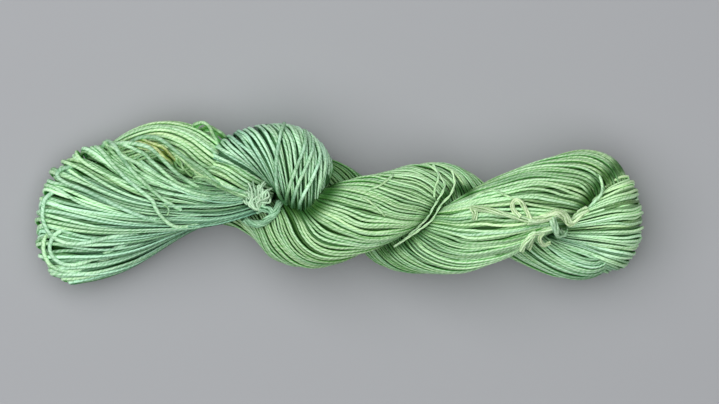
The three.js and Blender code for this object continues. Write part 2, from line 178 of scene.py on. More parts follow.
def tube_arrays(points, outward, radius, sides):
    """Round tubes along several strands, with a map of the place round each one and along it. The outward
    side is three quarters of the way round."""
    strands, steps, _ = points.shape
    along = unit(np.gradient(points, axis=1))
    a = unit(np.cross(along, outward))
    b = np.cross(along, a)
    turn = np.arange(sides) / sides * 2 * math.pi
    ring = np.cos(turn)[:, None] * a[:, :, None, :] + np.sin(turn)[:, None] * b[:, :, None, :]
    verts = points[:, :, None, :] + ring * radius[:, :, None, None]
    quads = tube_faces(strands, steps, sides)
    length = length_along(points, axis=1)
    u = quads % sides / sides
    u[:, 1:3] = np.where(u[:, 1:3] == 0, 1, u[:, 1:3])
    v = length.reshape(-1)[quads // sides]
    return verts.reshape(-1, 3), quads, np.stack([u, v], axis=-1).reshape(-1, 2)


STRAND_TIP = 0.1  # thickness of a strand at its ends, as a share
CORE_LOWEST = 0.2  # least height of a core above the table, mm
CORE_DYE = 0.6
# The cores are dark: painted shade seen through the gaps between the strands.
CORE_PAINTED_SHADE = 0.1


def yarn_object(name, batches, cores, material):
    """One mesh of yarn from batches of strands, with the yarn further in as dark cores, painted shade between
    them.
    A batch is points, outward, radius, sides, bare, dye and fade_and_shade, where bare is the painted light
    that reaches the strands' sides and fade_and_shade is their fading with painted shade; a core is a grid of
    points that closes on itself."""
    verts, quads, uvs, dyes, fades_and_shades, bares = [], [], [], [], [], []
    count = 0
    for points, outward, radius, sides, bare, dye, fade_and_shade in batches:
        points[..., 2] = np.maximum(points[..., 2], radius)
        radius[:, [0, -1]] *= STRAND_TIP
        v, q, uv = tube_arrays(points, outward, radius, sides)
        verts.append(v)
        quads.append(q + count)
        uvs.append(uv)
        dyes.append(np.repeat(dye.reshape(-1), sides))
        fades_and_shades.append(np.repeat(fade_and_shade.reshape(-1), sides))
        bares.append(np.full(len(v), float(bare)))
        count += len(v)
    for grid in cores:
        grid[..., 2] = np.maximum(grid[..., 2], CORE_LOWEST)
        rows, round_ = grid.shape[:2]
        q = tube_faces(1, rows, round_)
        verts.append(grid.reshape(-1, 3))
        quads.append(q + count)
        uvs.append(np.zeros((len(q) * 4, 2)))
        dyes.append(np.full(rows * round_, CORE_DYE))
        fades_and_shades.append(np.full(rows * round_, CORE_PAINTED_SHADE))
        bares.append(np.zeros(rows * round_))
        count += rows * round_
    verts = (np.concatenate(verts) - BOX_MIDDLE) * MM
    quads = np.concatenate(quads)
    mesh = bpy.data.meshes.new(name)
    mesh.from_pydata(verts, [], quads)
    mesh.polygons.foreach_set("use_smooth", np.ones(len(quads), bool))
    mesh.uv_layers.new(name="strand").data.foreach_set("uv", np.concatenate(uvs).ravel())
    for attribute, values in (("dye", dyes), ("fade_and_shade", fades_and_shades), ("bare", bares)):
        layer = mesh.attributes.new(attribute, "FLOAT", "POINT")
        layer.data.foreach_set("value", np.concatenate(values))
    mesh.materials.append(material)
    piece = bpy.data.objects.new(name, mesh)
    scene.collection.objects.link(piece)
    return piece


PLIES = 2.0
TWIST_LENGTH = 2.2  # length of strand from one of its plies to the next, mm
TWIST_UNEVENNESS = 2.0
UNEVEN_PACE = 0.11  # how fast the twist's unevenness changes along a strand, per mm
UNEVEN_SCALE, UNEVEN_DETAIL = 1.0, 1.0
FIBRE_PACE = 0.12  # how fast the fibres change along a strand, per mm
FIBRE_SCALE, FIBRE_DETAIL = 3.0, 2.0
FIBRES_ROUND = 2.0
FIBRE_HEIGHT = 0.6  # against the height of the plies
STRANDS_APART = 30.0  # how far apart strands of unlike dye lie in the noise, so that none repeat
FIBRES_APART = 40.0
RIDGE_START, RIDGE_END = -0.1, 0.85  # from a strand's shaded sides to its lit ridge
MOTTLE_LEAST, MOTTLE = 0.7, 0.6  # tone of the darkest fibres, and how much more the palest have
GROOVE_LIGHT = 1.1  # light on a ply, from which the groove beside it takes
FADED_LEAST = 0.25  # tone of a strand that no light reaches, as a share


def plied_yarn_group():
    """Shader group for plied yarn. From a dyed Tone it gives the Color of a strand with painted shade down
    its sides and between its plies, where the tone is raised to the power Depth and only a share of it, Gap,
    is left, and the Height of plies and fibres."""
    group = bpy.data.node_groups.new("plied_yarn", "ShaderNodeTree")
    for name, kind in (("Tone", "NodeSocketColor"), ("Depth", "NodeSocketFloat"), ("Gap", "NodeSocketFloat")):
        group.interface.new_socket(name, in_out="INPUT", socket_type=kind)
    for name, kind in (("Color", "NodeSocketColor"), ("Height", "NodeSocketFloat")):
        group.interface.new_socket(name, in_out="OUTPUT", socket_type=kind)
    nodes, links = group.nodes, group.links
    given = nodes.new("NodeGroupInput")
    made = nodes.new("NodeGroupOutput")

    def math_node(operation, *values):
        node = nodes.new("ShaderNodeMath")
        node.operation = operation
        for socket, value in zip(node.inputs, values):
            if isinstance(value, (int, float)):
                socket.default_value = value
            else:
                links.new(value, socket)
        return node.outputs[0]

    def times(*values):
        return math_node("MULTIPLY", *values)

    def strand_value(name):
        node = nodes.new("ShaderNodeAttribute")
        node.attribute_name = name
        return node.outputs["Fac"]

    def noise(scale, detail, *place):
        where = nodes.new("ShaderNodeCombineXYZ")
        for socket, value in zip(where.inputs, place):
            links.new(value, socket)
        node = nodes.new("ShaderNodeTexNoise")
        node.inputs["Scale"].default_value = scale
        node.inputs["Detail"].default_value = detail
        links.new(where.outputs[0], node.inputs["Vector"])
        return node.outputs["Fac"]

    def scaled(colour, factor):
        node = nodes.new("ShaderNodeVectorMath")
        node.operation = "SCALE"
        links.new(colour, node.inputs[0])
        links.new(factor, node.inputs["Scale"])
        return node.outputs[0]

    strand = nodes.new("ShaderNodeUVMap")
    strand.uv_map = "strand"
    split = nodes.new("ShaderNodeSeparateXYZ")
    links.new(strand.outputs[0], split.inputs[0])
    around, along = split.outputs[0], split.outputs[1]
    dye, fade_and_shade, bare = strand_value("dye"), strand_value("fade_and_shade"), strand_value("bare")

    place = times(along, UNEVEN_PACE), times(dye, STRANDS_APART), times(fade_and_shade, STRANDS_APART)
    uneven = noise(UNEVEN_SCALE, UNEVEN_DETAIL, *place)
    turns = math_node("MULTIPLY_ADD", along, 1 / TWIST_LENGTH, times(around, PLIES))
    twist = math_node("MULTIPLY_ADD", uneven, TWIST_UNEVENNESS, turns)
    plies = math_node("MULTIPLY_ADD", math_node("SINE", times(twist, 2 * math.pi)), 0.5, 0.5)
    place = times(twist, FIBRES_ROUND), times(along, FIBRE_PACE), times(dye, FIBRES_APART)
    fibre = noise(FIBRE_SCALE, FIBRE_DETAIL, *place)

    # Painted shade down a strand's sides, away from its outward ridge, and in the grooves between its plies.
    ridge = nodes.new("ShaderNodeMapRange")
    ridge.interpolation_type = "SMOOTHSTEP"
    links.new(math_node("SINE", times(around, -2 * math.pi)), ridge.inputs["Value"])
    ridge.inputs["From Min"].default_value = RIDGE_START
    ridge.inputs["From Max"].default_value = RIDGE_END
    reached = math_node("MAXIMUM", ridge.outputs["Result"], bare)
    groove = times(math_node("SUBTRACT", 1.0, plies), uneven)
    light = times(reached, math_node("MULTIPLY_ADD", groove, -1.0, GROOVE_LIGHT))

    # The painted shade's colour: the tone raised to the power Depth and scaled down by Gap.
    shade_tone = nodes.new("ShaderNodeGamma")
    links.new(given.outputs["Tone"], shade_tone.inputs["Color"])
    links.new(given.outputs["Depth"], shade_tone.inputs["Gamma"])
    tone = nodes.new("ShaderNodeMix")
    tone.data_type = "RGBA"
    links.new(times(light, fade_and_shade), tone.inputs["Factor"])
    links.new(scaled(shade_tone.outputs[0], given.outputs["Gap"]), tone.inputs["A"])
    links.new(given.outputs["Tone"], tone.inputs["B"])

    # Darker still where the strand is faded or in painted shade.
    mottle = math_node("MULTIPLY_ADD", fibre, MOTTLE, MOTTLE_LEAST)
    dim = math_node("MULTIPLY_ADD", fade_and_shade, 1 - FADED_LEAST, FADED_LEAST)
    links.new(scaled(tone.outputs["Result"], times(mottle, dim)), made.inputs["Color"])
    links.new(math_node("MULTIPLY_ADD", fibre, FIBRE_HEIGHT, plies), made.inputs["Height"])
    return group


plied_yarn = plied_yarn_group()
YARN_ROUGHNESS = 0.42
YARN_GLOSS = 0.2
PLY_RELIEF = 0.00018  # metres
RELIEF_STRENGTH = 0.5


def yarn_material(name, tones, depth, gap):
    """Plied yarn of one dyeing: tones is a table of place on the dye scale and linear colour."""
    material = bpy.data.materials.new(name)
    material.use_nodes = True
    nodes, links = material.node_tree.nodes, material.node_tree.links
    surface = nodes["Principled BSDF"]
    surface.inputs["Roughness"].default_value = YARN_ROUGHNESS
    surface.inputs["Specular IOR Level"].default_value = YARN_GLOSS

    dye = nodes.new("ShaderNodeAttribute")
    dye.attribute_name = "dye"
    ramp = nodes.new("ShaderNodeValToRGB")
    stops = ramp.color_ramp.elements
    stops.remove(stops[1])
    for i, (place, colour) in enumerate(tones):
        stop = stops[0] if i == 0 else stops.new(place)
        stop.position = place
        stop.color = (*colour, 1)
    links.new(dye.outputs["Fac"], ramp.inputs[0])

    strand = nodes.new("ShaderNodeGroup")
    strand.node_tree = plied_yarn
    strand.inputs["Depth"].default_value = depth
    strand.inputs["Gap"].default_value = gap
    links.new(ramp.outputs["Color"], strand.inputs["Tone"])
    links.new(strand.outputs["Color"], surface.inputs["Base Color"])

    bump = nodes.new("ShaderNodeBump")
    bump.inputs["Strength"].default_value = RELIEF_STRENGTH
    bump.inputs["Distance"].default_value = PLY_RELIEF
    links.new(strand.outputs["Height"], bump.inputs["Height"])
    links.new(bump.outputs["Normal"], surface.inputs["Normal"])
    return material


# columns: place on the dye scale, from teal to straw, and colour
LINEN_TONES = [
    (0.0, (0.32, 0.68, 0.48)),
    (0.3, (0.62, 0.95, 0.68)),
    (0.6, (0.64, 0.95, 0.57)),
    (0.85, (0.71, 0.95, 0.54)),
    (1.0, (0.80, 0.91, 0.45)),
]
linen = yarn_material("linen_yarn", LINEN_TONES, depth=4.0, gap=0.48)

DYE_SPREAD, DYE_DRIFT = 0.06, 0.08  # from strand to strand, and along one
FADE_SPREAD, FADE_DRIFT = 0.12, 0.12
FADE_LEAST, FADE_MOST = 0.5, 1.4


def dye_run(rng, strands, points, mean):
    """Where each point of several strands lies on the dye scale, and how faded it is."""
    dye = mean + rng.normal(0, DYE_SPREAD, (strands, 1)) + wander(rng, strands, points, 1.5, DYE_DRIFT)
    fade_and_shade = 1.0 + rng.normal(0, FADE_SPREAD, (strands, 1)) + wander(rng, strands, points, 3.0, FADE_DRIFT)
    return np.clip(dye, 0, 1), np.clip(fade_and_shade, FADE_LEAST, FADE_MOST)


STRAND_SIDES = 6
SUNK = 1.6  # how far a strand sinks where it has no room at the surface, mm
SINK_BLEND = 0.06  # how soon a strand sinks as the room runs out, as a share of the strands
GOLDEN_SHARE = 0.618  # spreads the strands that sink evenly among the others
OUTERMOST = [0, 1, 2, -3, -2, -1]


def with_room(count, room):
    """How far each strand lies at the surface, 1, or has sunk between its neighbours, 0, where only a
    share of the strands has room along the way. The outermost three on either side stay at the surface."""
    turn_taken = np.arange(count)[:, None] * GOLDEN_SHARE % 1
    turn_taken[OUTERMOST] = 0
    return smoothstep(-SINK_BLEND, SINK_BLEND, room + SINK_BLEND - turn_taken * (1 + SINK_BLEND))


FAN_TURN_END = 0.97  # where a fan's turns start and end inside the neck, as a share of half a turn
FAN_SLIMMEST = 0.52  # thickness of a strand where the turns crowd at the neck, as a share
FAN_WAVES = 2.4  # slow waves along one turn
FAN_HEIGHT_WAVE = 0.35  # mm
NECK_DIVE = (1.5, 4.0)  # how far the ends of the turns go down between the others at the neck, mm
NECK_DIVE_END = 0.12  # how far out from the neck they do, as a share of the way to the edge
NECK_LIGHT = 0.2  # light in the crease at the neck, as a share
NECK_LIGHT_END = 0.14  # how far out from the neck that shade goes
STRAND_UNEVENNESS = 0.06  # of a strand's thickness


def fan_strands(rng, rows, edge, layer, wall, lean):
    """The turns of one layer of a fan, a pitch apart, and further apart down its sides, where only a share
    of the height counts, wall. loose and cross are how far they stray sideways and cross one another
    towards the neck, and lean is how far they slant round the edge."""
    pitch, inset, loose, cross, neck_dye, edge_dye, side_dye, shade, points, radius = layer
    angle = np.linspace(math.pi * FAN_TURN_END, -math.pi * FAN_TURN_END, points)
    grid = np.linspace(0, 1, 60)
    lines = fan_points(rows, edge, grid[:, None] * np.ones(points), angle, inset) * np.array([1, 1, wall])
    gone = length_along(lines)
    width = gone[-1]
    count = int(width.max() / pitch)
    s = (1 + np.cos(angle)) / 2
    room = width / pitch / count
    slim = np.clip(room, FAN_SLIMMEST, 1)
    raised = with_room(count, room / slim)
    order = (np.cumsum(raised, axis=0) - raised / 2) / raised.sum(axis=0)
    place = np.stack([np.interp(order[:, k], gone[:, k] / width[k], grid) for k in range(points)], axis=1)
    stray = rng.normal(0, 0.3 / count, (count, 1)) + wander(rng, count, points, FAN_WAVES, loose) * (0.4 + s)
    stray += rng.normal(0, cross, (count, 1)) * (1 - s)
    stray += (lean * np.sin(math.pi * place)) * (1 - smoothstep(-0.9, 1.3, angle))
    reach = np.clip(inset + rng.normal(0, 0.2 + 45 * loose, (count, 1)) + SUNK * (1 - raised), 0.1, None)
    placed = fan_points(rows, edge, np.clip(place + stray, 0.0005, 0.9995), angle, reach)
    over = np.sin(angle) >= 0
    dive = rng.uniform(*NECK_DIVE, (count, 1))
    placed[..., 2] -= np.where(over, dive * (1 - smoothstep(0.0, NECK_DIVE_END, s)), 0)
    placed[..., 2] += wander(rng, count, points, FAN_WAVES, FAN_HEIGHT_WAVE)
    row = smooth_row(rows, place)
    run = row[..., 4:6] - row[..., 0:2]
    side = np.stack([-run[..., 1], run[..., 0], np.zeros_like(run[..., 0])], axis=-1)
    outward = unit(np.cross(np.gradient(placed, axis=1), side))
    thick = radius * slim**1.2 * (1 + wander(rng, count, points, 5.0, STRAND_UNEVENNESS))
    mean = neck_dye + (edge_dye - neck_dye) * s + side_dye * (place - 0.5)
    dye, fade_and_shade = dye_run(rng, count, points, mean)
    # Painted shade: the layer's own light, with less in the crease at the neck and less towards the neck than
    # at the edge.
    crease = NECK_LIGHT + (1 - NECK_LIGHT) * smoothstep(0.0, NECK_LIGHT_END, s)
    fade_and_shade *= shade * crease * (0.62 + 0.5 * s)
    return placed, outward, thick, STRAND_SIDES, 0, dye, fade_and_shade


def fan_core(rows, edge, inset, sections=24, points=24):
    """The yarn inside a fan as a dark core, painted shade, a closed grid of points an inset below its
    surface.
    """
    across = np.linspace(0.03, 0.97, sections)[:, None] * np.ones((1, points))
    angle = np.linspace(0, 2 * math.pi, points, endpoint=False)[None, :] * np.ones((sections, 1))
    return fan_points(rows, edge, across, angle, np.full(across.shape, float(inset)))


# columns: pitch, inset, loose, cross, dye at the neck, edge and from side to side, light, points, radius
OPEN_LOOP_LAYERS = [
    (2.05, 0.9, 0.012, 0.05, 0.08, 0.47, 0.25, 1.05, 88, 0.9),
    (1.9, 2.5, 0.016, 0.07, 0.1, 0.45, 0.25, 0.7, 80, 0.88),
    (1.9, 4.0, 0.016, 0.07, 0.1, 0.45, 0.25, 0.4, 72, 0.86),
]
rng = np.random.default_rng(11)
loop_strands = [
    fan_strands(rng, OPEN_LOOP, OPEN_LOOP_EDGE, layer, wall=0.9, lean=-0.08) for layer in OPEN_LOOP_LAYERS
]
loop_core = fan_core(OPEN_LOOP, OPEN_LOOP_EDGE, OPEN_LOOP_CORE)
open_loop = yarn_object("open_loop_yarn", loop_strands, [loop_core], linen)
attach(open_loop, "root")
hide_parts("hank")

# Collar: the other end's loop of the same linen yarn, drawn round the neck of the open loop.
# Its turns rise from the crease at the neck, arch over and go down behind, and the hank's own twist
# keeps them there.

COLLAR_EDGE = 17
COLLAR_CORE = 6.0
# columns as for the open loop
COLLAR = [
    (-28.8, 7.3, -41.7, 13.4, -55.1, 16.2, 31, 26, 0),
    (-26.3, 4.5, -37.3, 17.4, -49.8, 22.7, 39, 27, 0),
    (-23.9, 1.6, -32.4, 19.8, -41.7, 27.9, 43, 29, 0),
    (-21.1, -0.8, -27.1, 20.7, -32.8, 30.4, 45, 33, 0),
    (-18.2, -2.8, -21.5, 20.2, -23.5, 30.8, 46, 36, 0),
    (-15.0, -4.2, -14.6, 18.2, -13.8, 28.8, 45, 38.5, 0),
    (-10.9, -3.6, -7.7, 12.6, -5.7, 21.5, 43, 37.5, 0),
    (-6.9, -0.8, -4.1, 7.7, -2.4, 14.2, 40, 35, 0),
]
# columns as for the open loop's layers
COLLAR_LAYERS = [
    (1.6, 0.9, 0.006, 0.03, 0.40, 0.28, 0.24, 1.14, 72, 0.72),
    (1.7, 2.5, 0.010, 0.04, 0.40, 0.28, 0.24, 0.2, 72, 0.76),
    (1.7, 4.0, 0.008, 0.03, 0.40, 0.28, 0.24, 0.15, 72, 0.86),
]
rng = np.random.default_rng(31)
collar_strands = [
    fan_strands(rng, COLLAR, COLLAR_EDGE, layer, wall=0.45, lean=-0.03) for layer in COLLAR_LAYERS
]
collar_core = fan_core(COLLAR, COLLAR_EDGE, COLLAR_CORE)
collar = yarn_object("collar_yarn", collar_strands, [collar_core], linen)
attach(collar, "root")
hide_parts("hank")

# End fold: the right end of the hank, where one ply of linen yarn turns back into the other.
# Its turns spread from under the right tie and go round the outer edge, and the tie holds them in.

END_FOLD_EDGE = 14
END_FOLD_CORE = 5.0
# columns as for the open loop
END_FOLD = [
    (90.8, -8.4, 101.0, 2.2, 113.0, 15.4, 33, 29, 0),
    (89.9, -9.2, 106.0, 0.0, 119.1, 7.7, 37, 29, 0),
    (88.9, -10.2, 108.1, -4.5, 122.3, -2.0, 38, 29, 0),
    (87.9, -11.4, 108.1, -10.4, 122.7, -12.6, 37, 28, 0),
    (86.3, -12.6, 106.3, -16.2, 119.1, -23.1, 34, 27, 0),
    (83.8, -14.2, 101.3, -20.8, 113.0, -28.2, 29, 25, 0),
    (80.6, -15.8, 94.0, -23.6, 104.5, -29.8, 22, 21, 0),
]


def shaded_near(batch, line, reach, least=0.06):
    """A batch of strands with painted shade where they go down into a crease along a line of x and y."""
    points, outward, radius, sides, bare, dye, fade_and_shade = batch
    line = smooth_line(line, 40)
    away = np.linalg.norm(points[..., None, 0:2] - line, axis=-1).min(axis=-1)
    light = least + (1 - least) * smoothstep(0, reach, away)
    return points, outward, radius, sides, bare, dye, fade_and_shade * light


# columns: x, y
LOW_SIDE = [(78.0, -18.0), (90.0, -25.0), (104.0, -31.0), (112.0, -30.0)]
# columns as for the open loop's layers
END_FOLD_LAYERS = [
    (1.42, 0.9, 0.007, 0.03, 0.48, 0.58, -0.4, 1.38, 68, 0.66),
    (1.42, 2.2, 0.007, 0.03, 0.48, 0.58, -0.4, 0.5, 68, 0.7),
    (1.42, 3.5, 0.007, 0.02, 0.48, 0.58, -0.4, 0.35, 68, 0.74),
]
rng = np.random.default_rng(13)
fold_strands = [
    fan_strands(rng, END_FOLD, END_FOLD_EDGE, layer, wall=0.45, lean=-0.04) for layer in END_FOLD_LAYERS
]
fold_strands[0] = shaded_near(fold_strands[0], LOW_SIDE, reach=16, least=0.5)
fold_core = fan_core(END_FOLD, END_FOLD_EDGE, END_FOLD_CORE)
end_fold = yarn_object("end_fold_yarn", fold_strands, [fold_core], linen)
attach(end_fold, "root")
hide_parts("hank")

# First ply: half of the doubled loop of linen yarn, twisted on itself and laid round the second ply.
# Its turns of yarn wind round it, faster where it comes out of the crease at the collar.
# The twist locks it against the second ply.

PLY_SQUARENESS = 2.3
PLY_SLIMMEST = 0.75
PLY_CORE = 3.2  # depth of the core below the surface, mm
CLUMPS = 9  # groups of strands round a ply that stray together
WAVE_LENGTH = 60  # length of a ply in which its strands stray once, mm
PLACE_SPREAD = 0.18  # of the way from one strand to the next
DEPTH_SPREAD, DEPTH_WAVE = 0.3, 0.3  # mm
DEPTH_LEAST = 0.2
UP = np.array([0.0, 0.0, 1.0])

# columns: middle x, y, z, half the width, half the height, turns of the yarn so far
FIRST_PLY = [
    (-62.0, -2.5, 8.0, 4.5, 6.0, 0.00),
    (-48.0, -3.5, 8.5, 5.5, 8.0, 0.08),
    (-34.0, -5.8, 11.5, 8.5, 10.5, 0.20),
    (-21.5, -10.1, 18.5, 14.5, 15.0, 0.37),
    (-8.5, -11.3, 25.0, 15.5, 16.0, 0.54),
    (5.3, -6.9, 30.0, 15.0, 14.5, 0.67),
    (19.8, -1.8, 30.0, 14.0, 13.5, 0.79),
    (32.8, 3.6, 26.0, 11.5, 12.5, 0.95),
    (44.1, 4.9, 18.5, 10.2, 12.0, 1.13),
    (54.7, -1.5, 12.0, 10.0, 11.5, 1.27),
    (66.0, -9.3, 10.5, 10.5, 11.0, 1.37),
    (79.0, -18.2, 11.5, 8.6, 12.0, 1.46),
    (91.9, -21.9, 13.5, 9.4, 14.0, 1.54),
    (102.5, -21.5, 14.5, 9.0, 14.0, 1.61),
    (108.0, -16.0, 13.0, 5.0, 8.0, 1.66),
]


def squared(value):
    """A sine or cosine pushed outwards, so that a round section becomes a squarer one."""
    return np.sign(value) * np.abs(value) ** (2 / PLY_SQUARENESS)


def ply_points(rows, angle, inset):
    """Points of a ply's turns, evenly along it, at an angle round it and an inset below its surface."""
    row = smooth_line(rows, angle.shape[-1])
    middle = row[:, 0:3]
    side = unit(np.cross(UP, np.gradient(middle, axis=0)))
    across = squared(np.cos(angle)) * (row[:, 3] - inset)
    up = squared(np.sin(angle)) * (row[:, 4] - inset)
    return middle + side * across[..., None] + UP * up[..., None], middle


def ply_strands(rng, rows, layer):
    """The turns of one layer of a ply, a pitch apart, which wind round it and stray a little with their
    neighbours. dyed is its dye at the ply's start, middle and end, shade its painted light at even steps."""
    pitch, inset, loose, dyed, shade, points, radius = layer
    row = smooth_line(rows, points)
    step = np.gradient(length_along(row[:, 0:3]))
    waves = step.sum() / WAVE_LENGTH
    girth = (row[:, 3] + row[:, 4]) / 2 - inset
    wound = row[:, 5] * 2 * math.pi
    slant = girth * np.gradient(wound) / step
    width = 2 * math.pi * girth / np.sqrt(1 + slant**2)
    count = int(width.max() / pitch)
    share = np.linspace(0, 1, points)[None, :] * np.ones((count, 1))
    room = width / pitch / count
    slim = np.clip(room, PLY_SLIMMEST, 1)
    raised = with_room(count, room / slim)
    place = (np.cumsum(raised, axis=0) - raised / 2) / raised.sum(axis=0)
    shared = wander(rng, CLUMPS, points, waves, loose)
    near = np.arange(count) / count * CLUMPS
    low, mix = near.astype(int), (near % 1)[:, None]
    stray = shared[low] * (1 - mix) + shared[(low + 1) % CLUMPS] * mix
    stray += wander(rng, count, points, waves, 0.5 * loose)
    angle = (place + (stray + rng.normal(0, PLACE_SPREAD, (count, 1))) / count) * 2 * math.pi + wound
    depth = inset + rng.normal(0, DEPTH_SPREAD, (count, 1)) + SUNK * (1 - raised)
    depth += wander(rng, count, points, waves, DEPTH_WAVE)
    placed, centre = ply_points(rows, angle, np.maximum(depth, DEPTH_LEAST))
    thick = radius * slim**1.4 * (1 + wander(rng, count, points, 2 * waves, STRAND_UNEVENNESS))
    dye, fade_and_shade = dye_run(rng, count, points, np.interp(share, [0, 0.5, 1], dyed))
    light = np.interp(share, np.linspace(0, 1, len(shade)), shade)
    return placed, unit(placed - centre), thick, STRAND_SIDES, 0, dye, fade_and_shade * light


def ply_core(rows, inset, sections=40, points=24):
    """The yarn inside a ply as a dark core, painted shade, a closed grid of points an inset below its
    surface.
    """
    angle = np.linspace(0, 2 * math.pi, points, endpoint=False)[:, None] * np.ones((1, sections))
    return ply_points(rows, angle, inset)[0].transpose(1, 0, 2)


# columns: x, y
COLLAR_CREASE = [(-23.0, -0.5), (-19.0, -2.8), (-15.0, -4.6), (-10.9, -4.2), (-6.0, 0.5), (-2.5, 5.5)]
PLY_CREASE = [(18.6, -19.8), (30.8, -13.8), (36.0, -6.9), (40.9, 0.4), (47.0, 4.5), (52.0, 4.0)]
FOLD_CREASE = [(88.0, -12.5), (92.5, -8.0), (98.8, -0.8), (104.9, 7.5), (113.8, 14.4)]
# columns: pitch, inset, loose, dye at the start, middle and end, light along it, points, radius
FIRST_PLY_LAYERS = [
    (1.42, 0.8, 0.7, (0.6, 0.62, 0.33), (0.65, 0.83, 1, 0.9, 0.75), 130, 0.68),
    (1.42, 2.0, 0.5, (0.6, 0.62, 0.33), (0.05, 0.1, 0.65, 0.35, 0.1), 90, 0.68),
]
rng = np.random.default_rng(14)
first_strands = [ply_strands(rng, FIRST_PLY, layer) for layer in FIRST_PLY_LAYERS]
first_strands[0] = shaded_near(first_strands[0], COLLAR_CREASE, reach=6)
first_strands[0] = shaded_near(first_strands[0], PLY_CREASE, reach=4.5)
first_ply = yarn_object("first_ply_yarn", first_strands, [ply_core(FIRST_PLY, PLY_CORE)], linen)
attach(first_ply, "root")
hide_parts("hank")

# Second ply: the other half of the doubled loop, of the same linen yarn twisted on itself.
# It starts inside the collar, comes up over the first ply and ends in the fold.

# columns as for the first ply
SECOND_PLY = [
    (-13.8, 7.7, 15.0, 11.0, 12.0, 0.00),
    (-1.6, 4.5, 13.0, 11.0, 13.0, 0.10),
    (9.3, -4.5, 11.5, 11.0, 12.0, 0.20),
    (21.5, -15.5, 12.5, 11.5, 13.0, 0.33),
    (33.6, -18.0, 18.5, 11.5, 13.0, 0.46),
    (47.0, -15.5, 26.5, 14.0, 14.5, 0.57),
    (61.2, -8.5, 31.0, 15.5, 14.5, 0.65),
    (75.3, -1.2, 31.0, 14.8, 14.0, 0.72),
    (89.5, 3.6, 26.0, 15.0, 13.5, 0.79),
    (102.5, 4.6, 18.5, 15.5, 13.5, 0.86),
    (109.0, -3.0, 14.0, 9.0, 11.0, 0.92),
    (109.0, -12.0, 13.0, 5.5, 9.0, 0.97),
]
# columns as for the first ply's layers
SECOND_PLY_LAYERS = [
    (1.42, 0.8, 0.7, (0.6, 0.55, 0.72), (0.35, 1, 1), 110, 0.68),
    (1.42, 2.0, 0.5, (0.6, 0.55, 0.7), (0.2, 0.45, 0.65, 0.55, 0.2), 80, 0.68),
]
rng = np.random.default_rng(15)
second_strands = [ply_strands(rng, SECOND_PLY, layer) for layer in SECOND_PLY_LAYERS]
second_strands[0] = shaded_near(second_strands[0], PLY_CREASE, reach=4.5)
second_strands[0] = shaded_near(second_strands[0], FOLD_CREASE, reach=5)
second_ply = yarn_object("second_ply_yarn", second_strands, [ply_core(SECOND_PLY, PLY_CORE)], linen)
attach(second_ply, "root")
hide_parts("hank")

# Back loop: the linen yarn of the left loop that arches behind its fan and is hardly twisted.
# With it go the yarn that comes up out of the hollow along the neck, and what lies low in the hollow.
# Their ends run under the collar and the fan, which hold them.

HOLLOW_CORE = 3.0
# columns as for the first ply
BACK_LOOP = [
    (-44.0, 12.5, 8.5, 6.0, 8.0, 0.00),
    (-52.2, 16.8, 14.0, 8.5, 12.0, 0.03),
    (-62.0, 23.0, 13.5, 8.0, 12.5, 0.06),
    (-72.5, 25.1, 13.0, 7.0, 12.0, 0.09),
    (-83.0, 21.5, 11.0, 7.0, 10.5, 0.12),
    (-92.7, 15.0, 8.5, 6.5, 8.0, 0.15),
    (-100.8, 7.7, 7.0, 5.5, 6.5, 0.18),
]
NECK_BAND = [
    (-60.0, 11.0, 9.0, 4.0, 6.0, 0.00),
    (-53.5, 13.0, 14.5, 6.0, 8.5, 0.02),
    (-46.0, 11.5, 17.0, 7.5, 9.5, 0.04),
    (-36.0, 7.0, 18.0, 6.8, 9.5, 0.06),
    (-26.0, 3.5, 17.5, 5.0, 8.5, 0.08),
]
HOLLOW_YARN = [
    (-91.0, 15.0, 7.0, 4.0, 6.0, 0.00),
    (-84.0, 16.0, 8.0, 6.5, 7.5, 0.04),
    (-75.0, 14.5, 8.0, 8.5, 7.5, 0.08),
    (-64.0, 10.0, 8.0, 8.5, 7.5, 0.12),
    (-48.0, 8.0, 7.0, 9.0, 7.0, 0.18),
    (-28.0, 8.0, 6.5, 9.0, 7.0, 0.24),
]
# columns: bundle, then as for the first ply's layers
BACK_LAYERS = [
    (BACK_LOOP, 1.7, 0.8, 0.5, (0.6, 0.68, 0.5), (1, 1, 1), 70, 0.8),
    (BACK_LOOP, 1.7, 2.4, 0.5, (0.6, 0.68, 0.5), (0.6, 0.6, 0.6), 60, 0.8),
    (NECK_BAND, 1.6, 0.8, 0.3, (0.55, 0.6, 0.45), (1, 1, 0.8), 50, 0.74),
    (NECK_BAND, 1.6, 2.2, 0.3, (0.55, 0.6, 0.45), (0.6, 0.6, 0.5), 40, 0.74),
    (HOLLOW_YARN, 1.7, 0.8, 0.8, (0.45, 0.6, 0.6), (0.5, 0.42, 0.4), 50, 0.8),
]
rng = np.random.default_rng(16)
back_loop = yarn_object(
    "back_loop_yarn",
    [ply_strands(rng, bundle, layer) for bundle, *layer in BACK_LAYERS],
    [ply_core(BACK_LOOP, PLY_CORE), ply_core(NECK_BAND, PLY_CORE), ply_core(HOLLOW_YARN, HOLLOW_CORE)],
    linen,
)
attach(back_loop, "root")
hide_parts("hank")

# Stray turns: single turns of the same linen yarn that left their neighbours and lie loose over the hank,
# with two arches, a straw-coloured band and a slack knot at the hollow.
# Their ends go in between the other turns.

LOOSE_SIDES = 8
UPWARD = np.array([0.13, 0.21, 1.0])  # a little off straight up, so that no strand runs along it


def surface_of(piece):
    """A piece's surface, for rays from above to meet."""
    mesh = piece.data
    return BVHTree.FromPolygons([v.co for v in mesh.vertices], [p.vertices for p in mesh.polygons])


def resting_height(surface, x, y):
    """Height in mm of a surface at a place of its plan, or of the table beside it."""
    start = Vector(((x - BOX_MIDDLE[0]) * MM, (y - BOX_MIDDLE[1]) * MM, 1.0))
    hit = surface.ray_cast(start, Vector((0, 0, -1)))[0]
    return hit.z / MM if hit else 0.0


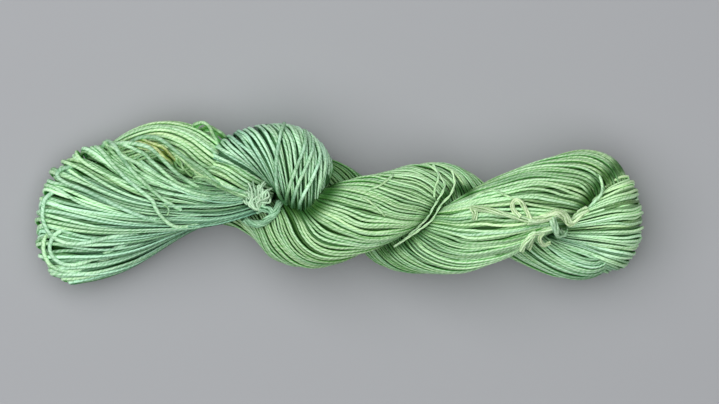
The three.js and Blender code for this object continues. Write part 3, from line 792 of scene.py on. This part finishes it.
def routed_strands(rng, surface, routes, radius, dye_mean, points, lowest, bare=0.6, beside=(0,)):
    """Single strands through routes of x, y and height above the surface under them, which is the highest of
    the places beside the route, or the lowest height."""
    placed = []
    for route in routes:
        rows = []
        for x, y, lift in route:
            rest = max(resting_height(surface, x + dx, y + dy) for dx in beside for dy in beside)
            rows.append((x, y, max(rest + lift, lowest)))
        placed.append(smooth_line(rows, points))
    placed = np.array(placed)
    count = len(routes)
    upward = np.broadcast_to(UPWARD, placed.shape)
    dye, fade_and_shade = dye_run(rng, count, points, dye_mean)
    thick = radius * (1 + wander(rng, count, points, 3.0, STRAND_UNEVENNESS))
    return placed, upward, thick, LOOSE_SIDES, bare, dye, fade_and_shade


CORD_LOOSENESS = 0.3  # radians
CORD_SPREAD_WAVE = 0.15
CORD_UNEVENNESS = 0.08


def cord_strands(rng, route, count, spread, radius, turn_length, dye_mean, points, shade, bare):
    """The soft strands of a thick yarn along a route of x, y, z, winding loosely round it."""
    middle = smooth_line(route, points)
    ahead = unit(np.gradient(middle, axis=0))
    side = unit(np.cross(UPWARD, ahead))
    up = np.cross(ahead, side)
    run = length_along(middle)
    start = np.arange(count) / count * 2 * math.pi
    angle = start[:, None] + run / turn_length * 2 * math.pi
    angle = angle + wander(rng, count, points, 1.5, CORD_LOOSENESS)
    away = spread * (1 + wander(rng, count, points, 2.0, CORD_SPREAD_WAVE))
    out = np.cos(angle)[..., None] * side + np.sin(angle)[..., None] * up
    placed = middle + out * away[..., None]
    dye, fade_and_shade = dye_run(rng, count, points, dye_mean)
    thick = radius * (1 + wander(rng, count, points, 3.0, CORD_UNEVENNESS))
    return placed, out, thick, LOOSE_SIDES, bare, dye, fade_and_shade * shade


# columns: x, y and lift above the yarn below
LOOP_STRAYS = [
    [(-93, 22, -1), (-89.5, 23.1, 0.6), (-83.8, 23.2, 1.6), (-76.8, 21.7, 3.2), (-72.4, 18.1, 7),
     (-66.3, 12, 6), (-61, 8, 2.5), (-54.4, 4.1, 0.8), (-46, 1.2, -0.2), (-38, 0.4, -3)],
    [(-85, 23, -1), (-80.3, 25.4, 0.4), (-74.2, 25.6, 0.8), (-69.7, 23.4, 1.5), (-65.4, 19.9, 3),
     (-59.2, 15.5, 3.5), (-54.4, 12.4, 1), (-50, 8.5, 0.9), (-46.5, 6.3, 0.5), (-41, 4.4, -0.6),
     (-35, 3, -3)],
    [(-96, 21.6, -1), (-94, 24.2, 1), (-90.4, 22.1, 1), (-87.3, 17.3, 0.9), (-84.2, 13, 0.8),
     (-80.3, 8.9, 0.6), (-75.9, 4.9, 0.4), (-70, 0, -0.6), (-63, -4, -3.5)],
    [(-99, 22, -0.6), (-96.1, 20.3, 0.6), (-90.4, 13.8, 0.8), (-85.6, 8.9, 0.8), (-80.3, 4.5, 0.8),
     (-75, 0.1, 0.8), (-73.3, -3.4, 0.9), (-69.7, -7.8, 0.9), (-65.4, -10.4, 0.2), (-59, -10.2, -1.6),
     (-52, -8.6, -6)],
]
HOLLOW_STRAYS = [
    [(-88, 23, -0.7), (-85.6, 22.3, 0.7), (-81.8, 20.7, 0.8), (-78.3, 18.8, 1.6), (-75.6, 16.1, 4),
     (-72.4, 13.1, 3.4), (-69.1, 10.1, 3.4), (-65.1, 7.2, 3.2), (-61, 5.5, 2.3), (-54, 3.4, 1.2),
     (-46, 2, -2.2)],
    [(-93, 22, -0.7), (-90.2, 21.2, 0.8), (-86.7, 17.9, 0.8), (-81.8, 15.5, 2.8), (-77.2, 12.8, 3.6),
     (-72.9, 10.1, 2.8), (-67.8, 7.2, 1.5), (-63.7, 5, 0.9), (-56, 2.4, 0.6), (-47, 0.8, -3)],
]
EDGE_LOOPS = [
    [(-110, 7.0, -8), (-118, 1.5, -0.4), (-119.5, -3.0, 0.8), (-119.3, -8.0, 0.8), (-116.5, -13.4, 0.9),
     (-111, -16.6, 0.9), (-104, -17.2, 0.7), (-96, -15.5, 0.3), (-88, -14, -1), (-80, -13, -4)],
    [(-109, -9, -9), (-117.5, -13.4, -1), (-119.3, -18, 0.6), (-118.5, -23, 0.9), (-115.5, -26.8, 0.9),
     (-110, -28.4, 0.9), (-102, -27, 0.7), (-92.7, -22.8, 0.3), (-84, -19.5, -1), (-76, -16.5, -4)],
    [(-105, -9, -9), (-113.6, -13, -0.6), (-116.6, -18, 0.9), (-115.5, -22.4, 1.2), (-111.5, -25.4, 1.2),
     (-105.5, -25.6, 1), (-97, -22.4, 0.6), (-89, -18.6, -0.4), (-82, -16, -2), (-76, -14.5, -4)],
    [(-103, 14.4, -8), (-111.6, 13, -0.6), (-113.6, 10, 0.9), (-109.4, 7, 0.9), (-103, 4.6, 0.8),
     (-96, 1.4, 0.5), (-88, -2.6, 0.2), (-80, -6, -1), (-74, -8, -2), (-68, -9, -4)],
]
FOLD_STRAY = [
    [(97.4, -5.5, 0), (99.5, -3.4, 0.5), (102.3, -0.2, 0.7), (104.8, 2.4, 0.8), (105.6, 5.4, 0.6),
     (105, 8.6, -0.3), (103.8, 11, -2.5)],
]
LOOP_HOOK = [
    [(-71, -1.5, -0.5), (-68.9, -2.5, 0.6), (-68.2, -4.3, 1.0), (-69.1, -6.0, 0.4)],
]
PLY_STRAYS = [
    [(33, 14.5, -1), (36, 14.2, 0.7), (39.3, 11.7, 0.9), (39.7, 8.5, 0.7), (38.5, 5.3, 0.5),
     (38, 0.5, -0.3)],
    [(42, 14, -1), (45.2, 12.4, 0.7), (47.6, 10, 0.7), (49.4, 7.6, 0.5), (50.4, 6.2, -0.6)],
    [(11, 4.2, -0.4), (14, 5.2, 0.4), (16.6, 6.2, 0.6), (20.7, 9.4, 0.4), (21.5, 10.5, -0.4)],
    [(8.7, 1.2, -0.4), (11, 0.6, 0.4), (14.3, -1.9, 0.5), (17, -4.6, 0.4), (18.3, -6.0, -0.4)],
    [(51, -1.6, -0.3), (55, 2.2, 0.5), (61, 4.2, 0.5), (66, 2.4, 0.5), (72, -0.5, -0.3)],
]
COLLAR_STRAYS = [
    [(-21.7, 31.2, 1.5), (-22.8, 28.2, 0.6), (-23.9, 22.6, 0.2), (-24.8, 16.0, 0.2), (-25.0, 9.0, 0.2),
     (-24.3, 3.6, 0.2), (-22.6, 0.4, -0.2), (-20.6, -1.6, -2.5)],
    [(-13.6, 28.4, -1.2), (-13.2, 24.4, 0), (-14.2, 19.8, 0.2), (-16.2, 14.6, 0.3), (-18.2, 9.7, 0.3),
     (-20.0, 4.5, 0.2), (-20.8, 1.2, -0.2), (-21.0, -1, -2.5)],
    [(-10.4, 25.2, -1.2), (-10.4, 20.7, 0), (-11.7, 16.6, 0.2), (-13.8, 11.7, 0.3), (-15.8, 7.3, 0.3),
     (-17.6, 2.4, 0.2), (-18.4, -0.6, -0.2), (-18.6, -2.6, -2.5)],
    [(-7.4, 19.4, -1.2), (-7.9, 15.4, 0), (-9.3, 11.7, 0.2), (-11.3, 7.3, 0.3), (-13.6, 3.2, 0.3),
     (-15.2, -0.4, 0), (-15.8, -3, -2.5)],
]
BESIDE = (-0.8, 0.0, 0.8)  # on a route and half a strand to either side, mm
# columns: x, y, z
ARCH = [
    (-60.5, 26.5, 12), (-59.2, 28.7, 17), (-57.5, 30.7, 21), (-55.2, 31.5, 23), (-53.1, 30.7, 24),
    (-51.3, 28.2, 23.5), (-49.5, 25.2, 22), (-47.5, 22.0, 19),
]
LOW_ARCH = [(-56.0, 28.0, 17), (-53.5, 29.2, 19), (-50.9, 28.7, 20), (-47.8, 26.9, 19), (-45.5, 24.5, 16)]
STRAW_BAND = [
    (-84.0, 22.6, 20), (-79.9, 22.9, 23.5), (-74.1, 21.8, 24.5), (-69.7, 19.0, 23), (-66.6, 15.5, 17),
]
HOLLOW_KNOT_OUTER = [
    (-70.0, 19.0, 19), (-66.0, 19.5, 20.5), (-62.5, 17.0, 20.5), (-61.5, 13.5, 19), (-64.0, 11.5, 18),
]
HOLLOW_KNOT_INNER = [
    (-67.5, 16.5, 18.5), (-66.0, 13.5, 20), (-63.0, 12.5, 20.5), (-60.5, 14.5, 19.5), (-59.0, 17.5, 18),
]
HOLLOW_KNOT_END = [(-66.0, 18.0, 19), (-64.5, 15.5, 21), (-62.5, 13.0, 20.5), (-59.0, 10.5, 18)]
hank_surface = surface_of(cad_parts["hank"])
collar_surface = surface_of(collar)
# columns: route, strands, spread, radius, length of a turn, dye, points, light, bare
HOLLOW_CORDS = [
    (ARCH, 2, 0.7, 0.75, 60, 0.6, 50, 1.0, 0.15),
    (LOW_ARCH, 2, 0.7, 0.75, 60, 0.6, 40, 1.0, 0.15),
    (STRAW_BAND, 5, 1.5, 0.72, 90, 0.96, 40, 1.0, 0.15),
    (HOLLOW_KNOT_OUTER, 3, 0.8, 0.55, 22, 0.7, 40, 0.6, 0.5),
    (HOLLOW_KNOT_INNER, 3, 0.7, 0.5, 22, 0.7, 40, 0.55, 0.5),
    (HOLLOW_KNOT_END, 2, 0.6, 0.5, 22, 0.75, 40, 0.8, 0.5),
]
# columns: routes, radius, dye, points, lowest height
STRAY_ROUTES = [
    (LOOP_STRAYS[0:1], 0.86, 0.35, 70, 14),
    (LOOP_STRAYS[1:2], 0.86, 0.4, 70, 14),
    (LOOP_STRAYS[2:3], 0.86, 0.35, 70, 14),
    (LOOP_STRAYS[3:4], 0.86, 0.4, 70, 14),
    (EDGE_LOOPS, 0.86, 0.36, 70, 12),
    (LOOP_HOOK, 0.4, 0.5, 24, 14),
    (FOLD_STRAY, 0.62, 0.6, 60, 14),
    (PLY_STRAYS, 0.5, 0.72, 40, 20),
]
rng = np.random.default_rng(17)
stray_strands = [routed_strands(rng, hank_surface, *row) for row in STRAY_ROUTES]
stray_strands += [cord_strands(rng, *cord) for cord in HOLLOW_CORDS]
stray_strands.append(routed_strands(rng, hank_surface, HOLLOW_STRAYS, 0.84, 0.38, points=70, lowest=14))
over_collar = routed_strands(rng, collar_surface, COLLAR_STRAYS, 0.76, 0.34, 60, 26, bare=0.05, beside=BESIDE)
stray_strands.append(shaded_near(over_collar, COLLAR_CREASE, reach=8, least=0.2))
strays = yarn_object("stray_yarn", stray_strands, [], linen)
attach(strays, "root")
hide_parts("hank")

# Left tie: a thick, soft teal yarn of loosely twisted strands, drawn round the neck of the open loop.
# It is knotted on top, and its end is frayed into a tuft.

# columns: x, y, z
LEFT_TIE_ROUTE = [
    (-23.9, -0.4, 26.6), (-24.7, -2.8, 29.0), (-25.9, -5.3, 30.2), (-28.4, -7.3, 29.2),
    (-31.2, -9.1, 26.6), (-35.2, -8.9, 23.6), (-38.5, -7.3, 24.8),
]
LEFT_TIE_KNOT = [
    (-33.0, -4.2, 26.6), (-31.0, -3.2, 28.4), (-28.6, -3.4, 29.6), (-26.6, -4.6, 29.8),
    (-26.2, -6.6, 28.6),
]
TUFT_TIPS = [
    (-38.6, 0.2, 25.0), (-37.2, 2.4, 27.0), (-36.5, 4.6, 28.5), (-34.8, 8.6, 29.5), (-33.2, 6.8, 30.5),
    (-31.4, 6.6, 30.8), (-29.6, 7.2, 30.5), (-27.6, 5.2, 30.0), (-26.7, 1.4, 29.0),
]
# columns as for the linen's tones
TIE_TONES = [
    (0.0, (0.34, 0.68, 0.43)),
    (0.5, (0.54, 0.87, 0.58)),
    (1.0, (0.74, 0.96, 0.71)),
]

ROOT_SPREAD, TIP_SPREAD = 0.5, 0.8  # mm
TUFT_BEND = 0.13  # sideways bend of a loose end, against its length
TUFT_RISE = np.array([0, 0, 1.2])  # mm
TUFT_BARE = 0.4


def frayed_strands(rng, root, tips, each, radius, dye_mean, points):
    """Loose ends from a root to near each of several tips, curving outwards and over."""
    placed = []
    for tip in tips:
        for _ in range(each):
            start = np.array(root) + rng.normal(0, ROOT_SPREAD, 3)
            end = np.array(tip) + rng.normal(0, TIP_SPREAD, 3)
            across = np.array([start[1] - end[1], end[0] - start[0], 0]) * rng.normal(0, TUFT_BEND)
            first = start + (end - start) * 0.35 + across + TUFT_RISE
            second = start + (end - start) * 0.72 - across + TUFT_RISE
            placed.append(smooth_line([start, first, second, end], points))
    placed = np.array(placed)
    count = len(placed)
    upward = np.broadcast_to(UPWARD, placed.shape)
    dye, fade_and_shade = dye_run(rng, count, points, dye_mean)
    taper = radius * np.linspace(1.1, 0.8, points)[None, :] * np.ones((count, 1))
    return placed, upward, taper, LOOSE_SIDES, TUFT_BARE, dye, fade_and_shade


# columns as for the cords at the hollow
LEFT_TIE_CORDS = [
    (LEFT_TIE_ROUTE, 7, 0.95, 0.6, 24, 0.35, 60, 1.0, 0.15),
    (LEFT_TIE_KNOT, 6, 0.9, 0.58, 24, 0.35, 40, 0.85, 0.15),
]
TUFT_ROOT = (-32.4, -3.6, 27.4)
teal_tie = yarn_material("teal_tie_yarn", TIE_TONES, depth=2.8, gap=0.45)
rng = np.random.default_rng(18)
left_tie_strands = [cord_strands(rng, *cord) for cord in LEFT_TIE_CORDS]
left_tie_strands.append(frayed_strands(rng, TUFT_ROOT, TUFT_TIPS, 3, 0.5, 0.8, 20))
tie_left = yarn_object("tie_left_yarn", left_tie_strands, [], teal_tie)
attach(tie_left, "root")
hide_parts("tie_left")

# Middle tie: two fine pale threads, each of two strands twisted together.
# They lie in the crease between the plies, and the hank's twist holds them there.

# columns: x, y, z
MIDDLE_TIE_FIRST = [
    (37.7, 14.7, 29.8), (40.5, 10.0, 32.4), (42.3, 7.2, 31.9), (41.9, 4.4, 32.6), (39.8, 0.6, 33.4),
    (37.7, -2.8, 34.4), (35.7, -6.4, 32.4), (33.1, -9.3, 32.2), (29.7, -12.4, 28.4), (26.4, -15.5, 28.0),
    (22.0, -18.5, 25.8),
]
MIDDLE_TIE_SECOND = [
    (45.2, 12.4, 28.5), (46.4, 8.8, 29.5), (46.0, 5.2, 29.4), (44.5, 2.1, 30.1), (41.9, -0.5, 30.6),
    (39.8, -3.3, 31.3), (38.3, -6.2, 30.4), (36.2, -8.7, 31.0), (32.6, -11.4, 30.2), (29.0, -13.9, 28.6),
    (22.0, -18.5, 25.8),
]
# columns as for the linen's tones
PALE_TONES = [
    (0.0, (0.48, 0.78, 0.53)),
    (0.5, (0.70, 0.95, 0.61)),
    (1.0, (0.80, 0.97, 0.61)),
]
# columns as for the cords at the hollow
MIDDLE_TIE_CORDS = [
    (MIDDLE_TIE_FIRST, 2, 0.2, 0.31, 9, 0.4, 120, 1.3, 0.6),
    (MIDDLE_TIE_SECOND, 2, 0.2, 0.31, 9, 0.4, 120, 1.2, 0.6),
]
pale_tie = yarn_material("pale_tie_yarn", PALE_TONES, depth=2.8, gap=0.5)
rng = np.random.default_rng(19)
middle_tie_strands = [cord_strands(rng, *cord) for cord in MIDDLE_TIE_CORDS]
tie_middle = yarn_object("tie_middle_yarn", middle_tie_strands, [], pale_tie)
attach(tie_middle, "root")
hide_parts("tie_middle")

# Right tie: a pale cream yarn of soft strands, drawn round the end fold to close it.
# It has a greener wrap, a curl and short tails, and a loose ribbon-like end that lies on the second ply.

# columns: x, y, z
RIGHT_TIE_ROUTE = [
    (99.6, -3.2, 34.4), (96.4, -5.1, 35.2), (92.7, -8.6, 35.6), (89.9, -5.9, 39.0), (86.9, -4.6, 41.2),
    (84.2, -5.9, 42.2), (81.2, -7.2, 43.4), (78.2, -7.8, 44.6), (75.0, -7.9, 45.3),
]
RIGHT_TIE_WRAP = [
    (84.6, -6.2, 42.2), (85.4, -8.4, 41.2), (86.4, -10.9, 38.6), (87.8, -13.2, 34.0), (89.8, -13.0, 31.0),
    (90.4, -11.3, 32.0),
]
RIGHT_TIE_CURL = [
    (76.5, -7.8, 45.3), (74.5, -4.0, 46.2), (72.5, -0.6, 46.4), (70.2, 0.3, 46.4), (68.9, -1.6, 46.6),
    (69.9, -4.3, 46.8), (72.3, -6.4, 46.8),
]
RIGHT_TIE_TAIL = [
    (86.0, -10.5, 39.0), (80.5, -12.4, 39.6), (77.0, -13.4, 41.4), (74.3, -16.6, 40.4),
    (72.9, -20.1, 36.5),
]
RIGHT_TIE_SHORT_TAIL = [(80.5, -12.4, 39.6), (77.6, -13.6, 41.0), (76.6, -16.8, 38.2), (76.1, -19.2, 34.5)]
RIGHT_TIE_LOWER_CURL = [
    (82.0, -12.0, 39.2), (80.2, -14.5, 38.2), (80.9, -16.7, 35.5), (82.6, -17.7, 33.0),
    (84.6, -16.6, 31.5),
]
RIGHT_TIE_END = [
    (77.0, -7.6, 45.6), (72.5, -7.0, 46.3), (69.3, -6.1, 46.6), (63.2, -4.5, 46.6), (56.3, -3.2, 45.6),
    (53.0, -2.8, 44.2), (54.2, -4.9, 44.4), (54.0, -7.7, 43.8),
]
# columns as for the cords at the hollow
RIGHT_TIE_CORDS = [
    (RIGHT_TIE_ROUTE, 7, 1.15, 0.6, 34, 0.75, 80, 1.1, 0.5),
    (RIGHT_TIE_END, 5, 0.75, 0.42, 40, 0.7, 60, 1.1, 0.5),
    (RIGHT_TIE_WRAP, 6, 1.0, 0.7, 30, 0.2, 50, 1.05, 0.15),
    (RIGHT_TIE_CURL, 4, 0.6, 0.46, 30, 0.8, 60, 1.15, 0.6),
    (RIGHT_TIE_TAIL, 5, 0.7, 0.46, 26, 0.6, 40, 1.1, 0.6),
    (RIGHT_TIE_SHORT_TAIL, 4, 0.6, 0.44, 26, 0.6, 40, 1.1, 0.6),
    (RIGHT_TIE_LOWER_CURL, 4, 0.55, 0.44, 26, 0.8, 40, 1.15, 0.6),
]
rng = np.random.default_rng(20)
right_tie_strands = [cord_strands(rng, *cord) for cord in RIGHT_TIE_CORDS]
tie_right = yarn_object("tie_right_yarn", right_tie_strands, [], pale_tie)
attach(tie_right, "root")
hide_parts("tie_right")

# Table: a plain pale grey surface that the hank lies on, matt and without a pattern.
# Soft light comes from all round, a little stronger from the left.

FLOOR_HALF = 2.0
PALE_GREY = (0.40, 0.41, 0.43, 1)
KEY_PLACE = (-0.25, 0.1, 1.2)
KEY_SIZE = 1.8
KEY_WATTS = 22.5
SKY_STRENGTH = 0.13

floor_form = bmesh.new()
bmesh.ops.create_grid(floor_form, x_segments=1, y_segments=1, size=FLOOR_HALF)
floor_mesh = bpy.data.meshes.new("floor")
floor_form.to_mesh(floor_mesh)
floor_form.free()
floor = bpy.data.objects.new("floor", floor_mesh)
scene.collection.objects.link(floor)
pale_grey = bpy.data.materials.new("pale_grey")
pale_grey.use_nodes = True
pale_grey_surface = pale_grey.node_tree.nodes["Principled BSDF"]
pale_grey_surface.inputs["Base Color"].default_value = PALE_GREY
pale_grey_surface.inputs["Roughness"].default_value = 0.9
floor_mesh.materials.append(pale_grey)

key_data = bpy.data.lights.new("key", "AREA")
key_data.size = KEY_SIZE
key_data.energy = KEY_WATTS
key = bpy.data.objects.new("key", key_data)
key.location = KEY_PLACE
key.rotation_mode = "QUATERNION"
key.rotation_quaternion = (-key.location).to_track_quat("-Z", "Y")
scene.collection.objects.link(key)

world = bpy.data.worlds.new("world")
world.use_nodes = True
sky = world.node_tree.nodes["Background"]
sky.inputs["Color"].default_value = (1.0, 1.0, 1.0, 1)
sky.inputs["Strength"].default_value = SKY_STRENGTH
scene.world = world
scene.view_settings.view_transform = "Standard"
